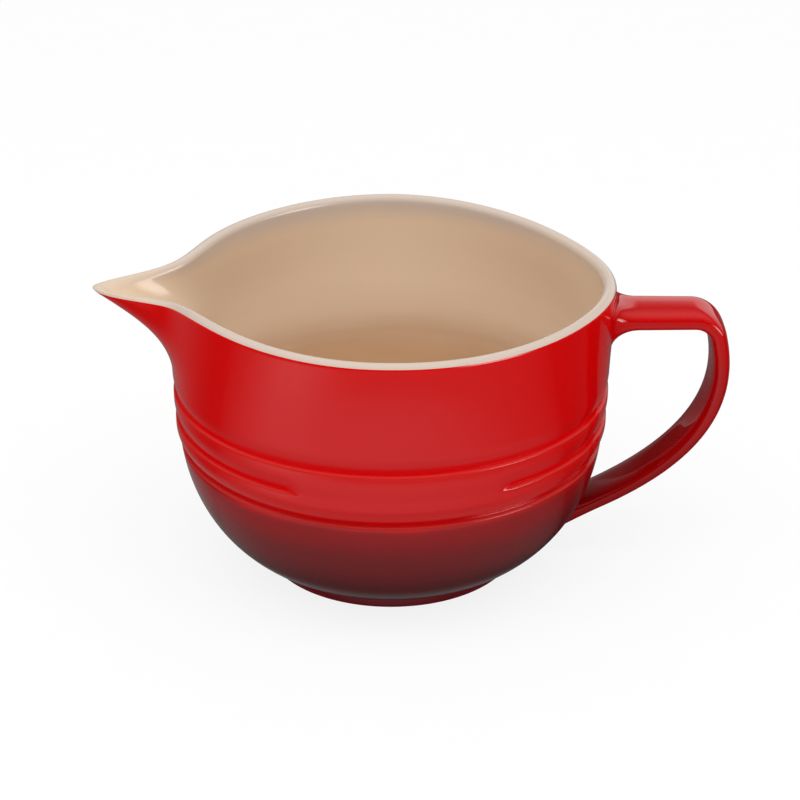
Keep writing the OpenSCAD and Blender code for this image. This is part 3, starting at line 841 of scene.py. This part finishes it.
def slip_joint(name, node, end, way, lower, flare_side, flare_up, flare_down):
    """Lofts a flare from the strap's end at a point of the XZ plane, towards the wall along a way.
    lower is 0 at the strap's upper end and 1 at its lower one. The flares are how far it widens to
    each side, above and below."""
    width, thick = STRAP_W[lower], STRAP_T[lower]
    along = Vector((way[0], 0, way[1])).normalized()
    up = Vector((-along.z, 0, along.x))
    if up.z < 0:
        up = -up
    origin = Vector((end[0], 0, end[1]))
    rings = []
    for i in range(FILLET_ROWS + 1):
        g = math.pi / 2 * i / FILLET_ROWS
        grow = 1 - math.cos(g)
        ring = []
        for across, through in strap_section(width, thick):
            side = across * (1 + 2 * flare_side * grow / width)
            lift = through * (1 + 2 * (flare_up if through > 0 else flare_down) * grow / thick)
            p = origin + Vector((0, side, 0)) + up * lift
            ring.append(p + along * to_wall(p, along) * math.sin(g))
        rings.append(ring)
    rim = rings[-1]
    middle = sum(rim, Vector()) / len(rim)
    for share in SEAT_SHARES:
        ring = []
        for p in rim:
            q = middle + (p - middle) * share - along * UPPER_JOINT
            ring.append(q + along * to_wall(q, along))
        rings.append(ring)
    count = SECTION_COUNT
    faces = []
    for i in range(len(rings) - 1):
        for j in range(count):
            k = (j + 1) % count
            faces.append((i * count + j, i * count + k, (i + 1) * count + k, (i + 1) * count + j))
    faces += [tuple(range(count)), tuple(range((len(rings) - 1) * count, len(rings) * count))]
    piece = new_piece(name, [tuple(p) for ring in rings for p in ring], faces=faces)
    piece.data.materials.append(STRAP_RED_PAINTED_SHADE)
    piece.data.shade_smooth()
    finish_piece(piece, node, sharp=60)


slip_joint("upper_slip_joint_red", "upper_slip_joint", path[0], (-1, 0), lower=0,
           flare_side=5.5 * MM, flare_up=6.4 * MM, flare_down=8.5 * MM)
last_way = (path[-1][0] - path[-2][0], path[-1][1] - path[-2][1])
slip_joint("lower_slip_joint_red", "lower_slip_joint", path[-1], last_way, lower=1,
           flare_side=2.5 * MM, flare_up=2.5 * MM, flare_down=3 * MM)


# Floor: a wide pale studio table that takes the bowl's soft shadow. In the gloss alone it glows with
#  painted reflections: dark, brighter in front and most of all in a patch on the left, beside the bowl
#  and close round its foot, and white behind the bowl.
FLOOR_HALF = 6.0
FLOOR_SEEN_WHITE = 0.85
SHEEN_PATCH, SHEEN_SPREAD, SHEEN_GLOW = (-0.27, -0.24), 0.12, 0.6
SIDE_PATCH, SIDE_SPREAD, SIDE_GLOW = (-0.12, 0.01), 0.06, 0.2
FRONT_START, FRONT_POWER, FRONT_GLOW = 0.1, 0.7, 0.29
NEAR_R, NEAR_SPREAD, NEAR_GLOW = 0.225, 0.06, 0.3
SHADE_R, SHADE_FADE = 0.055, 0.06
FOOT_LINE_R, FOOT_LINE_SPREAD, FOOT_LINE_GLOW = 0.062, 0.006, 0.12
BEHIND_POWER, BEHIND_GLOW, BEHIND_FALL = 1.5, 0.33, 0.5
ASIDE_GAIN, STRAIGHT_SHARE = 0.9, 0.25
DARK_GLOW = 0.02


def painted_table_reflection(x, y):
    """How bright the table's painted reflection is at a point, in metres from the bowl's axis."""
    away = distance((x, y), (0.0, 0.0))
    across = x / away
    clear_of_foot = ((away - SHADE_R) / SHADE_FADE).ease()
    front = ((y * -1.0 / away - FRONT_START) / (1 - FRONT_START)).clamp() ** FRONT_POWER * clear_of_foot
    near = (away - NEAR_R).bell(NEAR_SPREAD) * NEAR_GLOW
    painted_patch = distance((x, y), SHEEN_PATCH).bell(SHEEN_SPREAD) * SHEEN_GLOW
    beside = distance((x, y), SIDE_PATCH).bell(SIDE_SPREAD) * SIDE_GLOW
    foot_line = (away - FOOT_LINE_R).bell(FOOT_LINE_SPREAD) * FOOT_LINE_GLOW
    behind = ((y / away).clamp() ** BEHIND_POWER * (x * -BEHIND_FALL + BEHIND_GLOW).clamp()
              * (across * across * ASIDE_GAIN + STRAIGHT_SHARE).clamp())
    return front * (front * near + FRONT_GLOW) + painted_patch + beside + foot_line + behind + DARK_GLOW


def floor_material():
    material, tree, shader = new_material("pale_floor", (0.9, 0.9, 0.9))
    grain = noise(tree, scale=40, detail=4)
    tint = ramp(tree, grain, [(0.3, (0.79, 0.79, 0.79)), (0.7, (0.81, 0.81, 0.81))])
    tree.links.new(tint, shader.inputs["Base Color"])
    shader.inputs["Roughness"].default_value = 0.8
    place = add_node(tree, "ShaderNodeSeparateXYZ",
                     Vector=tree.nodes.new("ShaderNodeTexCoord").outputs["Object"])
    # Painted reflection: to glossy rays the table glows by this pattern
    reflected_brightness = painted_table_reflection(*(Field(tree, place.outputs[axis]) for axis in "XY"))
    glow = add_node(tree, "ShaderNodeEmission", Color=(1, 1, 1, 1), Strength=reflected_brightness)
    white = add_node(tree, "ShaderNodeEmission", Color=(1, 1, 1, 1), Strength=1.0)
    rays = tree.nodes.new("ShaderNodeLightPath")
    surface = shader.outputs[0]
    for share, other in ((Field(tree, rays.outputs["Is Camera Ray"]) * FLOOR_SEEN_WHITE, white),
                         (Field(tree, rays.outputs["Is Glossy Ray"]), glow)):
        mixed = tree.nodes.new("ShaderNodeMixShader")
        tree.links.new(share.socket, mixed.inputs[0])
        tree.links.new(surface, mixed.inputs[1])
        tree.links.new(other.outputs[0], mixed.inputs[2])
        surface = mixed.outputs[0]
    tree.links.new(surface, tree.nodes["Material Output"].inputs[0])
    return material


floor_corners = [(x * FLOOR_HALF, y * FLOOR_HALF, 0) for x, y in ((-1, -1), (1, -1), (1, 1), (-1, 1))]
floor = new_piece("floor", floor_corners, faces=[(0, 1, 2, 3)])
floor.data.materials.append(floor_material())


# Studio light: an even white room, a broad soft daylight from the front and one softbox overhead.
ROOM_SEEN, ROOM_GLOW, WALL_GLOW = 1.0, 0.85, 0.03
CEILING_LOW, CEILING_FADE, CEILING_BACK, CEILING_GLOW = 0.3, 0.5, 0.5, 0.5
BACKDROP_TOP, BACKDROP_FADE, BACKDROP_GLOW = 0.33, 0.08, 0.85
BACKDROP_MIDDLE, BACKDROP_TURN = 0.9, 2.2
SIDE_WINDOW, SIDE_WINDOW_SPREAD, SIDE_WINDOW_GLOW = (0.86, -0.48, 0.14), 0.3, 6.5
SIDE_WINDOW_EDGE = 4.0


def studio_world():
    """The room lights everything evenly and is plain white to the camera. In the gloss alone it shows
    painted reflections: a pale ceiling over dark walls, a white backdrop low behind the bowl and a
    bright glint on the right."""
    world = bpy.data.worlds.new("studio")
    bpy.context.scene.world = world
    world.use_nodes = True
    tree = world.node_tree
    background = tree.nodes["Background"]
    background.inputs["Color"].default_value = (1, 1, 1, 1)
    rays = tree.nodes.new("ShaderNodeLightPath")
    seen = Field(tree, rays.outputs["Is Camera Ray"])
    mirrored = Field(tree, rays.outputs["Is Glossy Ray"])
    way = add_node(tree, "ShaderNodeSeparateXYZ",
                   Vector=tree.nodes.new("ShaderNodeTexCoord").outputs["Generated"])
    x, y, z = (Field(tree, way.outputs[axis]) for axis in "XYZ")
    low = ((z - BACKDROP_TOP) / BACKDROP_FADE).ease() * -1.0 + 1.0
    backdrop = y.clamp() * low * (x * BACKDROP_TURN + BACKDROP_MIDDLE).clamp() * BACKDROP_GLOW
    # Painted reflection: a bright glint on the right, seen only in the gloss
    painted_patch = distance((x, y, z), SIDE_WINDOW).bell(SIDE_WINDOW_SPREAD, SIDE_WINDOW_EDGE) * SIDE_WINDOW_GLOW
    ceiling = ((z - CEILING_LOW) / CEILING_FADE).ease() * (y + CEILING_BACK).clamp() * CEILING_GLOW
    plain = seen * (ROOM_SEEN - ROOM_GLOW) + ROOM_GLOW
    strength = plain + (ceiling + backdrop + painted_patch + WALL_GLOW - plain) * mirrored
    tree.links.new(strength.socket, background.inputs["Strength"])


def lamp(name, kind, place, target, energy, **settings):
    """A lamp that shines from a place towards a target and isn't seen in the gloss."""
    data = bpy.data.lights.new(name, kind)
    data.energy = energy
    for key, value in settings.items():
        setattr(data, key, value)
    light = bpy.data.objects.new(name, data)
    bpy.context.scene.collection.objects.link(light)
    light.location = place
    light.rotation_euler = (Vector(target) - Vector(place)).to_track_quat("-Z", "Y").to_euler()
    light.visible_glossy = False


studio_world()
lamp("room", "SUN", place=(0.12, -0.75, 2.0), target=(0, 0, 0), energy=0.68, angle=math.radians(70))
lamp("softbox", "AREA", place=(0, -0.4, 1.2), target=(0, 0, 0.1), energy=8.2,
     shape="RECTANGLE", size=2.6, size_y=0.6)


# Camera: fitted to the photograph's outline, ring lines and foot.
CAMERA_LENS = 100
CAMERA_SENSOR = 36
CAMERA_NEAR = 0.05
CAMERA_DISTANCE = 1.0
CAMERA_ELEVATION = math.radians(25.5)
CAMERA_TARGET = Vector((4.05 * MM, 0, 74.57 * MM))
camera_data = bpy.data.cameras.new("camera")
camera_data.lens = CAMERA_LENS
camera_data.sensor_width = CAMERA_SENSOR
camera_data.clip_start = CAMERA_NEAR
camera = bpy.data.objects.new("camera", camera_data)
bpy.context.scene.collection.objects.link(camera)
back = Vector((0, -math.cos(CAMERA_ELEVATION), math.sin(CAMERA_ELEVATION)))
camera.location = CAMERA_TARGET + back * CAMERA_DISTANCE
camera.rotation_euler = (math.pi / 2 - CAMERA_ELEVATION, 0, 0)
bpy.context.scene.camera = camera
bpy.context.scene.view_settings.view_transform = "Standard"
